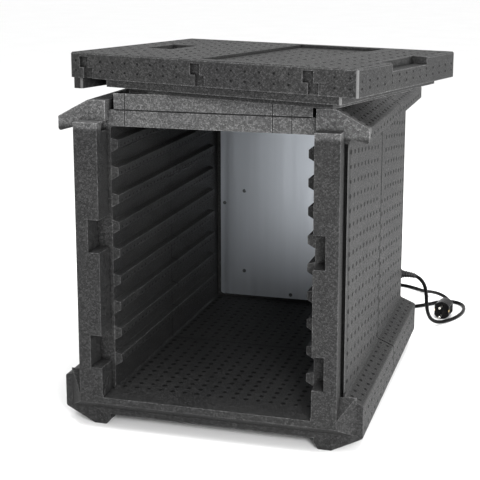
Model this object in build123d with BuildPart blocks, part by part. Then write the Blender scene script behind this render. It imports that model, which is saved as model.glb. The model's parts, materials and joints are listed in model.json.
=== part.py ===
from build123d import *
from math import cos, pi, radians, sin
import os

os.makedirs("parts", exist_ok=True)

# Heated front-loading food carrier in expanded polypropylene (EPP) foam, with nine pairs of shelf
# runners, a heated stainless back plate, a mains lead, and its door lifted off and laid on the roof.
# All sizes are in millimetres. Carrier sizes are measured from its mid plane (x), from the front
# plane of its side walls (y, growing to the rear) and from the floor (z).

# ---- where the carrier stands in the part's own frame
mid_x = -48.53          # the carrier's mid plane
front_y = -250.45       # front plane of the side walls

# ---- shell outline, seen from the front
wall_x = 220.0          # outside of a side wall
wing_x = 249.0          # outside of the wings and feet
foot_flat_out = 199.0
foot_flat_in = 178.0
foot_in = 171.0
foot_rise = 4.0         # height at which the feet start to taper in above their bevel
base_z = 18.0           # underside of the box between the feet
foot_low_z = 25.5
foot_high_z = 79.0
foot_join_z = 91.0
wing_join_z = 494.0
wing_low_z = 486.0
wing_high_z = 510.0
shoulder_x = 199.0
shoulder_z = 537.0
head_in = 169.0
channel_z = 521.0
plateau_x = 160.0
plateau_z = 547.0
mould_radius = 4.0      # rounding that the foam mould leaves on long corners
overrun = 1.0           # how far a cut runs past the surface it opens

# ---- depths
seat_y = 15.0           # plane that the door closes against
seam_y = 292.0          # where the front and the rear moulding meet
wall_end_y = 558.0      # rear end of side walls, wings and feet
rear_y = 618.0          # rear face of the heater housing
plate_y = 575.0         # wall that the heated back plate is screwed to
seam_bevel = 1.5
seam_slot_z = (350.0, 443.0)    # pry slot across the seam of each side wall
seam_slot_half_width = 3.0
seam_slot_depth = 8.0

# ---- cavity and door opening
cavity_x = 166.5
floor_z = 57.0
ceiling_z = 495.0
opening_x = 172.5
cavity_radius = 5.0

# ---- posts, sill and toes at the front
post_out = 212.0
post_y = -27.0
post_top = 505.0
nose_low_z = 46.0
nose_high_z = 60.0
toe_x = 238.0
toe_top_z = 92.0
toe_bottom_z = 28.0
groove_width = 5.5
groove_depth = 12.0
groove_top = 486.0
edge_bevel_width = 2.3  # long slanting bevel on the front outer edge of each side wall
edge_bevel_depth = 14.0
edge_bevel_z = (96.0, 481.0)
notch_out = 191.5
notch_ranges = ((106.5, 160.5), (297.5, 350.5))
latch_slot_z = (489.0, 502.0)
latch_slot_depth = 6.0
lintel_line = 1.2       # width and depth of the parting line across the lintel
lintel_seams_x = (-142.0, 98.0, 128.0)

# ---- shelf runners
runner_count = 9
runner_pitch = 44.4
runner_first_top = 120.4
runner_tip = 154.5
runner_wall_height = 23.0
runner_top_fall = 3.0
runner_tip_height = 13.0
runner_end_y = 518.0
runner_radius = 1.5

# ---- rear heater housing
housing_x = 198.0
housing_low_z = 30.0
housing_high_z = 520.0
housing_radius = 12.0
heater_bay_x = 136.0
heater_bay_low = 80.0
heater_bay_high = 470.0
heater_bay_end = 594.0
rear_panel_x = 150.0
rear_panel_low = 200.0
rear_panel_high = 470.0
rear_panel_depth = 6.0

# ---- heated back plate and what holds it
plate_x = 158.5
plate_low = 62.0
plate_high = 492.0
plate_thick = 1.5
plate_radius = 6.0
plate_hole = 2.1
plate_screw_spots = ((-150.0, 256.0), (150.0, 256.0), (-9.0, 70.0), (-9.0, 482.0))
heater_bolt_spots = ((-108.0, 114.0), (108.0, 114.0), (-108.0, 283.0), (108.0, 283.0))
screw_head = 3.6
screw_head_height = 2.2
screw_shank = 1.9
screw_length = 16.0
anchor_radius = 5.0
anchor_length = 18.0
bolt_shank = 2.0
bolt_length = 10.0
fit_gap = 0.1

# ---- heater stack behind the plate
mat_x = 98.0
mat_low = 120.0
mat_high = 277.0
mat_thick = 2.0
clamp_x = 118.0
clamp_low = 104.0
clamp_high = 293.0
clamp_thick = 1.5
nut_height = 3.2
nut_across = 7.0
pad_start = 585.5
pad_thick = 7.0
thermostat_spot = (40.0, 330.0)
cutout_spot = (84.0, 330.0)
disc_radius = 8.0
disc_height = 8.0
disc_flange = 2.0
disc_flange_thick = 1.0
tab_thick = 0.8
tab_size = 6.0

# ---- connection box in the rear, right-hand corner of the housing
box_in = 122.0
box_low = 88.0
box_high = 162.0
box_front = 588.0
box_rear = 615.0
box_wall = 2.5
box_radius = 5.0
lid_thick = 2.7
lid_screw_inset = 8.0
lead_hole = 6.0
terminal_low = (150.0, 590.5, 112.0)
terminal_high = (178.0, 606.0, 140.0)
terminal_ways = 3
terminal_way_y = 600.0
terminal_way_radius = 2.2
lead_radius = 1.1
lead_bend = 3.0

# ---- cable gland
gland_y = 602.0
gland_z = 125.0
gland_thread = 6.0
gland_bore = 3.8
gland_flange = 11.0
gland_flange_thick = 5.0
gland_nut_length = 14.0
gland_nut_radius = 9.5
gland_stem_length = 9.5 # thread inside the housing
locknut_wall = 3.0
locknut_thick = 4.0

# ---- mains lead and plug; the route is measured like the carrier
cord_radius = 3.75
lead_route = (
    (217, 602, 125), (232, 602, 125), (248, 603, 121), (260, 606, 107), (264, 611, 86),
    (264, 619, 62), (265, 632, 39), (270, 650, 19), (282, 672, 6.5), (300, 698, 4.1),
    (316, 730, 4.1), (324, 766, 4.1), (324, 798, 4.1), (317, 823, 4.1), (299, 838, 4.1),
    (277, 836, 4.1), (259, 819, 4.1), (236, 793, 4.1), (206, 770, 4.1), (172, 757, 4.5),
    (136, 754, 5.2), (108, 754, 5.2),
)
tail_route = (
    (49, 808, 11.7), (51, 832, 10.5), (55, 858, 5.5), (70, 892, 4.1), (96, 920, 4.1),
    (132, 938, 4.1), (170, 938, 4.1), (202, 919, 4.1), (226, 890, 7), (246, 861, 16),
    (266, 833, 21), (284, 809, 20.5), (293.5, 785.3, 18.9),
)
coil_centre = (95.0, 800.0)
coil_inner = 34.6
coil_outer = 50.0
coil_low = 1.4
coil_high = 15.6
tie_inner = 33.8
tie_outer = 50.3
tie_thick = 0.9
tie_width = 12.0
tie_gap = 0.2
tie_radius = 2.5
tie_angle = 35.0
plug_heading = 262.0    # direction of the pins on the floor, in degrees from +x
plug_face = (284.0, 718.0, 18.9)
plug_radius = 18.5
plug_length = 38.0
plug_flat = 15.5
boot_length = 30.0
boot_root = 10.0
boot_tip = 5.5
pin_radius = 2.4
pin_length = 19.0
pin_root = 10.0
pin_half_spacing = 9.5
clip_width = 4.5
clip_length = 22.0
clip_thick = 1.0
clip_sunk = 0.8         # how far the middle of an earth clip lies below the plug's flat side
clip_slot = 3.0

# ---- door, laid on the roof with its outside face up
door_angle = -16.3
door_centre = (55.4, 111.9)
door_length = 510.0
door_width = 334.0
slab_thick = 40.0
slab_bevel = 2.0
door_lift = 0.3         # clearance between the door's plug and the roof
plug_step = 12.0
plug_step_inset = 6.0
plug_step_low = 29.0
plug_step_high = 66.0
inner_step = 10.0
inner_step_inset = 26.0
lip_thick = 18.0
lip_drop = 18.0
lip_inset = 6.0
panel_x = (-16.0, 141.0)
panel_y = 152.0
panel_depth = 5.0
hand_x = (-203.0, -150.0)
hand_y = 40.0
hand_depth = 24.0
finger_width = 120.0
finger_reach = 24.0
finger_depth = 12.0
side_pocket_x = (-236.0, -24.0, 168.0)
side_pocket_width = 17.0
side_pocket_height = 17.0
side_pocket_depth = 5.0
side_pocket_top = 6.0


def level(z):
    """Horizontal plane at height z, with the carrier's own x and y."""
    return Plane(origin=(mid_x, front_y, z), x_dir=(1, 0, 0), z_dir=(0, 0, 1))


def upright(y):
    """Plane across the carrier at depth y, with x to the right and z up; it faces the front."""
    return Plane(origin=(mid_x, front_y + y, 0), x_dir=(1, 0, 0), z_dir=(0, -1, 0))


def lengthways(x):
    """Plane along the carrier at x, with y to the right and z up; it faces the right-hand side."""
    return Plane(origin=(mid_x + x, front_y, 0), x_dir=(0, 1, 0), z_dir=(1, 0, 0))


def door_level(z):
    """Horizontal plane at height z, with x along the laid door and y across it."""
    x_dir = (cos(radians(door_angle)), sin(radians(door_angle)), 0)
    return Plane(
        origin=(mid_x + door_centre[0], front_y + door_centre[1], z),
        x_dir=x_dir,
        z_dir=(0, 0, 1),
    )


def block(low, high, mode=Mode.ADD):
    """Box between two corners given in the carrier's own x, y and z."""
    with BuildSketch(level(low[2])) as footprint:
        with Locations(((low[0] + high[0]) / 2, (low[1] + high[1]) / 2)):
            Rectangle(high[0] - low[0], high[1] - low[1])
    extrude(footprint.sketch, amount=high[2] - low[2], mode=mode)


def door_block(low, high, mode=Mode.ADD):
    """Box between two corners given in the laid door's own x and y, and in z."""
    with BuildSketch(door_level(low[2])) as footprint:
        with Locations(((low[0] + high[0]) / 2, (low[1] + high[1]) / 2)):
            Rectangle(high[0] - low[0], high[1] - low[1])
    extrude(footprint.sketch, amount=high[2] - low[2], mode=mode)


def shell_body(start, end):
    """Length of shell: feet, side walls, wings, heads and plateau, with moulded round corners."""
    right_side = (
        (foot_in, base_z),
        (foot_in, foot_flat_in - foot_in + foot_rise),
        (foot_flat_in, 0),
        (foot_flat_out, 0),
        (wing_x, foot_low_z),
        (wing_x, foot_high_z),
        (wall_x, foot_join_z),
        (wall_x, wing_join_z),
        (wing_x, wing_low_z),
        (wing_x, wing_high_z),
        (shoulder_x, shoulder_z),
        (head_in, shoulder_z),
        (head_in, channel_z),
        (plateau_x, channel_z),
        (plateau_x, plateau_z),
    )
    left_side = [(-x, z) for x, z in reversed(right_side)]
    with BuildSketch(upright(start)) as section:
        with BuildLine():
            Polyline(*right_side, *left_side, close=True)
        make_face()
        outer_corners = section.vertices().filter_by(lambda v: abs(v.X) > opening_x)
        fillet(outer_corners, radius=mould_radius)
    extrude(section.sketch, amount=start - end)


def cavity(start, end):
    """Cut the inside of the box from one depth to another."""
    with BuildSketch(upright(start)) as section:
        with Locations((0, (floor_z + ceiling_z) / 2)):
            RectangleRounded(2 * cavity_x, ceiling_z - floor_z, cavity_radius)
    extrude(section.sketch, amount=start - end, mode=Mode.SUBTRACT)


def pry_slots(start, end):
    """Cut one half of the slot across the seam in both side walls."""
    for side in (-1, 1):
        reach = (side * (wall_x - seam_slot_depth), side * (wall_x + overrun))
        low, high = seam_slot_z
        block((min(reach), start, low), (max(reach), end, high), Mode.SUBTRACT)


def save(piece, label):
    """Label a finished piece and write it as one STEP file."""
    piece.label = label
    export_step(piece, f"parts/{label}.step")


# ---------------------------------------------------------------- toes below the posts
with BuildPart() as toe:
    with BuildSketch(level(toe_bottom_z)):
        with BuildLine():
            Polyline((foot_in, 0), (foot_in, post_y), (post_out, post_y), (toe_x, 0), close=True)
        make_face()
    extrude(amount=toe_top_z - toe_bottom_z)
    with BuildSketch(lengthways(foot_in)):
        with BuildLine():
            Polyline(
                (0, toe_bottom_z),
                (post_y, nose_low_z),
                (post_y, nose_high_z),
                (0, toe_top_z),
                close=True,
            )
        make_face()
    extrude(amount=toe_x - foot_in, mode=Mode.INTERSECT)

mirrored_toe = mirror(toe.part, about=lengthways(0))

# ---------------------------------------------------------------- front moulding
with BuildPart() as front_shell:
    shell_body(0, seam_y)
    cavity(seat_y, seam_y)
    block((-opening_x, -overrun, floor_z), (opening_x, seat_y, post_top), Mode.SUBTRACT)
    lintel_front = ((-head_in, -overrun, post_top - overrun), (head_in, seat_y, plateau_z + overrun))
    block(*lintel_front, Mode.SUBTRACT)
    line_low = (-plateau_x, seat_y - overrun, channel_z - lintel_line / 2)
    block(line_low, (plateau_x, seat_y + lintel_line, channel_z + lintel_line / 2), Mode.SUBTRACT)
    for x in lintel_seams_x:
        seam_low = (x - lintel_line / 2, seat_y - overrun, ceiling_z - overrun)
        seam_high = (x + lintel_line / 2, seat_y + lintel_line, plateau_z + overrun)
        block(seam_low, seam_high, Mode.SUBTRACT)
    add(toe.part)
    add(mirrored_toe)
    with BuildSketch(lengthways(-opening_x)):
        with BuildLine():
            Polyline(
                (seat_y, base_z),
                (post_y, nose_low_z),
                (post_y, floor_z),
                (seat_y, floor_z),
                close=True,
            )
        make_face()
    extrude(amount=2 * opening_x)
    for side in (-1, 1):
        inner = side * opening_x
        outer = side * post_out
        block((min(inner, outer), post_y, nose_high_z), (max(inner, outer), seat_y, post_top))
        groove = (side * post_out, side * (post_out + groove_width))
        groove_high = (max(groove), groove_depth, groove_top)
        block((min(groove), -overrun, nose_high_z), groove_high, Mode.SUBTRACT)
        low, high = edge_bevel_z
        with BuildSketch(level(low)) as edge_bevel:
            with BuildLine():
                Polyline(
                    (side * (wall_x - edge_bevel_width), 0),
                    (side * (wall_x - edge_bevel_width), -overrun),
                    (side * (wall_x + overrun), -overrun),
                    (side * (wall_x + overrun), edge_bevel_depth),
                    (side * wall_x, edge_bevel_depth),
                    close=True,
                )
            make_face()
        extrude(edge_bevel.sketch, amount=high - low, mode=Mode.SUBTRACT)
        notch = (side * (opening_x - overrun), side * notch_out)
        for low, high in notch_ranges:
            block((min(notch), post_y - overrun, low), (max(notch), seat_y, high), Mode.SUBTRACT)
        slot = (side * (opening_x - overrun), side * (opening_x + latch_slot_depth))
        low, high = latch_slot_z
        block((min(slot), post_y / 3, low), (max(slot), seat_y - overrun, high), Mode.SUBTRACT)
    seam_edges = front_shell.edges().filter_by(Plane.XZ).group_by(Axis.Y)[-1]
    outer_seam = seam_edges.filter_by(lambda e: abs(e.center().X - mid_x) > head_in + 2)
    chamfer(outer_seam, length=seam_bevel)
    pry_slots(seam_y - seam_slot_half_width, seam_y + overrun)
save(front_shell.part, "front_shell")

# ---------------------------------------------------------------- rear moulding
with BuildPart() as rear_shell:
    shell_body(seam_y, wall_end_y)
    with BuildSketch(upright(wall_end_y)) as housing_section:
        with Locations((0, (housing_low_z + housing_high_z) / 2)):
            Rectangle(2 * housing_x, housing_high_z - housing_low_z)
    extrude(housing_section.sketch, amount=wall_end_y - rear_y)
    housing_corners = rear_shell.edges().filter_by(Axis.Y).filter_by(
        lambda e: e.center().Y > front_y + wall_end_y
    )
    fillet(housing_corners, radius=housing_radius)
    fillet(rear_shell.faces().sort_by(Axis.Y)[-1].edges(), radius=mould_radius)
    cavity(seam_y, plate_y)
    block(
        (-heater_bay_x, plate_y - overrun, heater_bay_low),
        (heater_bay_x, heater_bay_end, heater_bay_high),
        Mode.SUBTRACT,
    )
    block(
        (-rear_panel_x, rear_y - rear_panel_depth, rear_panel_low),
        (rear_panel_x, rear_y + overrun, rear_panel_high),
        Mode.SUBTRACT,
    )
    box_corner = (housing_x + overrun, rear_y + overrun, box_high)
    block((box_in, box_front, box_low), box_corner, Mode.SUBTRACT)
    with BuildSketch(upright(plate_y)) as anchor_holes:
        with Locations(*plate_screw_spots):
            Circle(anchor_radius + fit_gap)
    extrude(anchor_holes.sketch, amount=-anchor_length, mode=Mode.SUBTRACT)
    seam_edges = rear_shell.edges().filter_by(Plane.XZ).group_by(Axis.Y)[0]
    outer_seam = seam_edges.filter_by(lambda e: abs(e.center().X - mid_x) > head_in + 2)
    chamfer(outer_seam, length=seam_bevel)
    pry_slots(seam_y - overrun, seam_y + seam_slot_half_width)
save(rear_shell.part, "rear_shell")

# ---------------------------------------------------------------- shelf runners
with BuildPart() as runners_right:
    for index in range(runner_count):
        top = runner_first_top + index * runner_pitch
        tip_top = top - runner_top_fall
        with BuildSketch(upright(seat_y)) as runner_section:
            with BuildLine():
                Polyline(
                    (cavity_x, top - runner_wall_height),
                    (cavity_x, top),
                    (runner_tip, tip_top),
                    (runner_tip, tip_top - runner_tip_height),
                    close=True,
                )
            make_face()
            tip = runner_section.vertices().group_by(Axis.X)[0]
            fillet(tip, radius=runner_radius)
        extrude(amount=seat_y - runner_end_y)
save(runners_right.part, "runners_right")
save(mirror(runners_right.part, about=lengthways(0)), "runners_left")

# ---------------------------------------------------------------- heated back plate
with BuildPart() as back_plate:
    with BuildSketch(upright(plate_y - plate_thick)):
        with Locations((0, (plate_low + plate_high) / 2)):
            RectangleRounded(2 * plate_x, plate_high - plate_low, plate_radius)
        with Locations(*plate_screw_spots, *heater_bolt_spots):
            Circle(plate_hole, mode=Mode.SUBTRACT)
    extrude(amount=-plate_thick)
save(back_plate.part, "heated_back_plate")


def pan_head_screws(spots, shank, length):
    """Screws through the back plate, heads on the cavity side, as one group of solids."""
    with BuildPart() as screws:
        with BuildSketch(upright(plate_y - plate_thick)) as heads:
            with Locations(*spots):
                Circle(screw_head)
        extrude(heads.sketch, amount=screw_head_height)
        chamfer(screws.faces().sort_by(Axis.Y)[: len(spots)].edges(), length=screw_head_height / 3)
        with BuildSketch(upright(plate_y - plate_thick)) as shanks:
            with Locations(*spots):
                Circle(shank)
        extrude(shanks.sketch, amount=-length)
        with BuildSketch(upright(plate_y - plate_thick - screw_head_height)) as recesses:
            with Locations(*spots):
                RegularPolygon(screw_head / 3, 6)
        extrude(recesses.sketch, amount=-screw_head_height / 2, mode=Mode.SUBTRACT)
    return screws.part


save(pan_head_screws(plate_screw_spots, screw_shank, screw_length), "back_plate_screws")
save(pan_head_screws(heater_bolt_spots, bolt_shank, bolt_length), "heater_bolts")

with BuildPart() as anchors:
    with BuildSketch(upright(plate_y)):
        with Locations(*plate_screw_spots):
            Circle(anchor_radius)
            Circle(screw_shank + fit_gap, mode=Mode.SUBTRACT)
    extrude(amount=overrun - anchor_length)
save(anchors.part, "plate_screw_anchors")

# ---------------------------------------------------------------- heater behind the plate
mat_start = plate_y
clamp_start = mat_start + mat_thick
nut_start = clamp_start + clamp_thick
with BuildPart() as heating_mat:
    block((-mat_x, mat_start, mat_low), (mat_x, clamp_start, mat_high))
save(heating_mat.part, "heating_mat")

with BuildPart() as clamp_plate:
    block((-clamp_x, clamp_start, clamp_low), (clamp_x, nut_start, clamp_high))
    with BuildSketch(upright(clamp_start)) as clamp_holes:
        with Locations(*heater_bolt_spots):
            Circle(plate_hole)
    extrude(clamp_holes.sketch, amount=-clamp_thick, mode=Mode.SUBTRACT)
save(clamp_plate.part, "heater_clamp_plate")

with BuildPart() as nuts:
    with BuildSketch(upright(nut_start)):
        with Locations(*heater_bolt_spots):
            RegularPolygon(nut_across / 2, 6, major_radius=False)
            Circle(bolt_shank + fit_gap / 2, mode=Mode.SUBTRACT)
    extrude(amount=-nut_height)
save(nuts.part, "heater_nuts")

with BuildPart() as insulation_pad:
    block((-clamp_x, pad_start, clamp_low), (clamp_x, pad_start + pad_thick, clamp_high))
save(insulation_pad.part, "insulation_pad")


def snap_disc(spot):
    """Round bimetal switch with a flange, held flat against the back of the plate."""
    with BuildPart() as disc:
        with BuildSketch(upright(plate_y)) as flange:
            with Locations(spot):
                Circle(disc_radius + disc_flange)
        extrude(flange.sketch, amount=-disc_flange_thick)
        with BuildSketch(upright(plate_y)) as can:
            with Locations(spot):
                Circle(disc_radius)
        extrude(can.sketch, amount=-disc_height)
        for side in (-1, 1):
            x = spot[0] + side * disc_radius / 2
            z = spot[1]
            start = plate_y + disc_height
            tab_low = (x - tab_thick / 2, start, z - tab_size / 2)
            block(tab_low, (x + tab_thick / 2, start + tab_size, z + tab_size / 2))
    return disc.part


save(snap_disc(thermostat_spot), "thermostat")
save(snap_disc(cutout_spot), "thermal_cutout")

# ---------------------------------------------------------------- connection box
with BuildPart() as connection_box:
    block((box_in, box_front, box_low), (housing_x, box_rear, box_high))
    inner_low = (box_in + box_wall, box_front + box_wall, box_low + box_wall)
    inner_high = (housing_x - box_wall, box_rear + overrun, box_high - box_wall)
    block(inner_low, inner_high, Mode.SUBTRACT)
    with BuildSketch(lengthways(housing_x - box_wall)) as gland_hole:
        with Locations((gland_y, gland_z)):
            Circle(gland_thread + fit_gap)
    extrude(gland_hole.sketch, amount=box_wall, mode=Mode.SUBTRACT)
    with BuildSketch(upright(box_front)) as lead_holes:
        with Locations((box_in + box_wall + lead_hole, gland_z)):
            Circle(lead_hole)
    extrude(lead_holes.sketch, amount=-box_wall, mode=Mode.SUBTRACT)
    lid_spots = [
        (x, z)
        for x in (box_in + lid_screw_inset, housing_x - lid_screw_inset)
        for z in (box_low + lid_screw_inset, box_high - lid_screw_inset)
    ]
    with BuildSketch(upright(box_front + box_wall)) as bosses:
        with Locations(*lid_spots):
            Circle(lid_screw_inset / 2)
            Circle(bolt_shank, mode=Mode.SUBTRACT)
    extrude(bosses.sketch, amount=box_front + box_wall - box_rear)
save(connection_box.part, "connection_box")

with BuildPart() as box_lid:
    block((box_in, box_rear, box_low), (housing_x, box_rear + lid_thick, box_high))
    fillet(box_lid.edges().filter_by(Axis.Y), radius=box_radius / 2)
    chamfer(box_lid.faces().sort_by(Axis.Y)[-1].edges(), length=lid_thick / 4)
    with BuildSketch(upright(box_rear)) as lid_holes:
        with Locations(*lid_spots):
            Circle(bolt_shank + fit_gap)
    extrude(lid_holes.sketch, amount=-lid_thick, mode=Mode.SUBTRACT)
save(box_lid.part, "connection_box_lid")

with BuildPart() as lid_screws:
    with BuildSketch(upright(box_rear + lid_thick)) as lid_heads:
        with Locations(*lid_spots):
            Circle(screw_head)
    extrude(lid_heads.sketch, amount=-screw_head_height)
    with BuildSketch(upright(box_rear + lid_thick)) as lid_shanks:
        with Locations(*lid_spots):
            Circle(bolt_shank - fit_gap)
    extrude(lid_shanks.sketch, amount=screw_length)
    with BuildSketch(upright(box_rear + lid_thick + screw_head_height)) as slots:
        with Locations(*lid_spots):
            RegularPolygon(screw_head / 3, 6)
    extrude(slots.sketch, amount=screw_head_height / 2, mode=Mode.SUBTRACT)
save(lid_screws.part, "connection_box_screws")

with BuildPart() as terminal_block:
    block(terminal_low, terminal_high)
    way_height = (terminal_high[2] - terminal_low[2]) / terminal_ways
    with BuildSketch(lengthways(terminal_low[0])) as ways:
        for way in range(terminal_ways):
            with Locations((terminal_way_y, terminal_low[2] + (way + 0.5) * way_height)):
                Circle(terminal_way_radius)
    extrude(ways.sketch, amount=terminal_high[0] - terminal_low[0], mode=Mode.SUBTRACT)
save(terminal_block.part, "terminal_block")

# leads between the terminal block and the heater's switches and mat
lead_routes = (
    ((150, 600, 116.7), (140, 600, 117), (130, 596, 121.5), (127.5, 583, 122.5),
     (126.5, 582, 136), (126.5, 582, 318), (115, 582, 330), (96, 582, 330)),
    ((150, 600, 126), (140, 600, 126), (133, 596, 125.5), (130.6, 583, 126.5),
     (130.6, 582, 140), (130.6, 582, 332), (118, 582, 344), (88, 582, 344)),
    ((150, 600, 135.3), (142, 600, 134), (133.8, 595, 127.4), (133.2, 583, 128),
     (134.6, 582, 144), (134.6, 581, 376), (122, 581, 388), (60, 581, 388)),
)
with BuildPart() as leads:
    for route in lead_routes:
        points = [(x + mid_x, y + front_y, z) for x, y, z in route]
        with BuildLine() as lead_line:
            FilletPolyline(*points, radius=lead_bend)
        with BuildSketch(Plane(origin=points[0], z_dir=(-1, 0, 0))) as lead_section:
            Circle(lead_radius)
        sweep(lead_section.sketch, path=lead_line.line)
save(leads.part, "internal_leads")

# ---------------------------------------------------------------- cable gland
with BuildPart() as gland_body:
    with BuildSketch(lengthways(housing_x)) as gland_hexagon:
        with Locations((gland_y, gland_z)):
            RegularPolygon(gland_flange, 6, major_radius=False)
    extrude(gland_hexagon.sketch, amount=gland_flange_thick)
    with BuildSketch(lengthways(housing_x)) as gland_stem:
        with Locations((gland_y, gland_z)):
            Circle(gland_thread)
    extrude(gland_stem.sketch, amount=-gland_stem_length)
    with BuildSketch(lengthways(housing_x - gland_stem_length)) as gland_tunnel:
        with Locations((gland_y, gland_z)):
            Circle(gland_bore)
    extrude(gland_tunnel.sketch, amount=gland_stem_length + gland_flange_thick, mode=Mode.SUBTRACT)
save(gland_body.part, "gland_body")

with BuildPart() as gland_locknut:
    with BuildSketch(lengthways(housing_x - box_wall)):
        with Locations((gland_y, gland_z)):
            RegularPolygon(gland_thread + locknut_wall, 6, major_radius=False)
            Circle(gland_thread + fit_gap / 2, mode=Mode.SUBTRACT)
    extrude(amount=-locknut_thick)
save(gland_locknut.part, "gland_locknut")

with BuildPart() as gland_cap:
    with BuildSketch(lengthways(housing_x + gland_flange_thick)) as cap_foot:
        with Locations((gland_y, gland_z)):
            Circle(gland_nut_radius)
    extrude(cap_foot.sketch, amount=gland_nut_length)
    fillet(gland_cap.edges().sort_by(Axis.X)[-1], radius=mould_radius)
    with BuildSketch(lengthways(housing_x + gland_flange_thick)) as cap_bore:
        with Locations((gland_y, gland_z)):
            Circle(gland_bore)
    extrude(cap_bore.sketch, amount=gland_nut_length, mode=Mode.SUBTRACT)
save(gland_cap.part, "gland_cap")

# ---------------------------------------------------------------- mains lead


def cord_tube(route, name):
    """Tube along straight runs joined by tangent arcs, as large as the runs allow."""
    points = [Vector(x + mid_x, y + front_y, z) for x, y, z in route]
    radii = []
    for before, here, after in zip(points, points[1:], points[2:]):
        shorter = min((here - before).length, (after - here).length)
        half_turn = radians((here - before).get_angle(after - here) / 2)
        radii.append(0.45 * shorter * cos(half_turn) / sin(half_turn))
    with BuildPart() as tube:
        with BuildLine() as path:
            FilletPolyline(*points, radius=radii)
        with BuildSketch(Plane(origin=points[0], z_dir=points[1] - points[0])) as section:
            Circle(cord_radius)
        sweep(section.sketch, path=path.line)
    length = path.wires()[0].length
    expected = pi * cord_radius**2 * length
    print(name, "length", round(length), "volume ratio", round(tube.part.volume / expected, 4))
    print(name, "radii", [round(radius) for radius in radii])
    return tube.part


save(cord_tube(lead_route, "lead"), "mains_lead")
save(cord_tube(tail_route, "tail"), "mains_lead_tail")

with BuildPart() as coil:
    with BuildSketch(level(coil_low)):
        with Locations(coil_centre):
            Circle(coil_outer)
            Circle(coil_inner, mode=Mode.SUBTRACT)
    extrude(amount=coil_high - coil_low)
    fillet(coil.edges(), radius=cord_radius / 2)
save(coil.part, "mains_lead_coil")

tie_plane = Plane(
    origin=(mid_x + coil_centre[0], front_y + coil_centre[1], (coil_low + coil_high) / 2),
    x_dir=(cos(radians(tie_angle)), sin(radians(tie_angle)), 0),
    z_dir=(-sin(radians(tie_angle)), cos(radians(tie_angle)), 0),
)
with BuildPart() as cord_tie:
    with BuildSketch(tie_plane):
        with Locations(((tie_inner + tie_outer) / 2, 0)):
            gap_x = tie_outer - tie_inner
            gap_z = coil_high - coil_low + 2 * tie_gap
            RectangleRounded(gap_x + 2 * tie_thick, gap_z + 2 * tie_thick, tie_radius)
            RectangleRounded(gap_x, gap_z, tie_radius - tie_thick, mode=Mode.SUBTRACT)
    extrude(amount=tie_width / 2, both=True)
save(cord_tie.part, "cord_tie")

# ---------------------------------------------------------------- plug
heading = Vector(cos(radians(plug_heading)), sin(radians(plug_heading)), 0)
face_centre = Vector(plug_face[0] + mid_x, plug_face[1] + front_y, plug_face[2])


def across_plug(distance):
    """Plane across the plug, a distance behind its face, looking along the cord."""
    return Plane(origin=face_centre - heading * distance, x_dir=(0, 0, 1), z_dir=-heading)


with BuildPart() as plug_body:
    with BuildSketch(across_plug(0)):
        Circle(plug_radius)
        Rectangle(2 * plug_radius, 2 * plug_flat, mode=Mode.INTERSECT)
    extrude(amount=plug_length)
    plug_rear = plug_body.faces().sort_by(lambda f: -(f.center() - face_centre).dot(-heading))[0]
    fillet(plug_rear.edges(), radius=mould_radius)
    with BuildSketch(across_plug(0)) as pin_holes:
        with Locations((-pin_half_spacing, 0), (pin_half_spacing, 0)):
            Circle(pin_radius + fit_gap / 2)
    extrude(pin_holes.sketch, amount=pin_root, mode=Mode.SUBTRACT)
    with BuildSketch(across_plug(0)) as clip_slots:
        with Locations((0, plug_flat), (0, -plug_flat)):
            Rectangle(clip_width + 2 * fit_gap, clip_slot)
    extrude(clip_slots.sketch, amount=clip_length, mode=Mode.SUBTRACT)
save(plug_body.part, "plug_body")

with BuildPart() as plug_pins:
    with BuildSketch(across_plug(-pin_length)):
        with Locations((-pin_half_spacing, 0), (pin_half_spacing, 0)):
            Circle(pin_radius)
    extrude(amount=pin_length + pin_root)
    tips = plug_pins.edges().sort_by(lambda e: (e.center() - face_centre).dot(-heading))[:2]
    fillet(tips, radius=pin_radius / 2)
save(plug_pins.part, "plug_pins")

with BuildPart() as earth_clips:
    with BuildSketch(across_plug(0)):
        with Locations((0, plug_flat - clip_sunk), (0, clip_sunk - plug_flat)):
            Rectangle(clip_width, clip_thick)
    extrude(amount=clip_length - fit_gap)
save(earth_clips.part, "plug_earth_clips")

with BuildPart() as boot:
    with BuildSketch(across_plug(plug_length)):
        Circle(boot_root)
    with BuildSketch(across_plug(plug_length + boot_length)):
        Circle(boot_tip)
    loft()
save(boot.part, "plug_boot")

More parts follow.
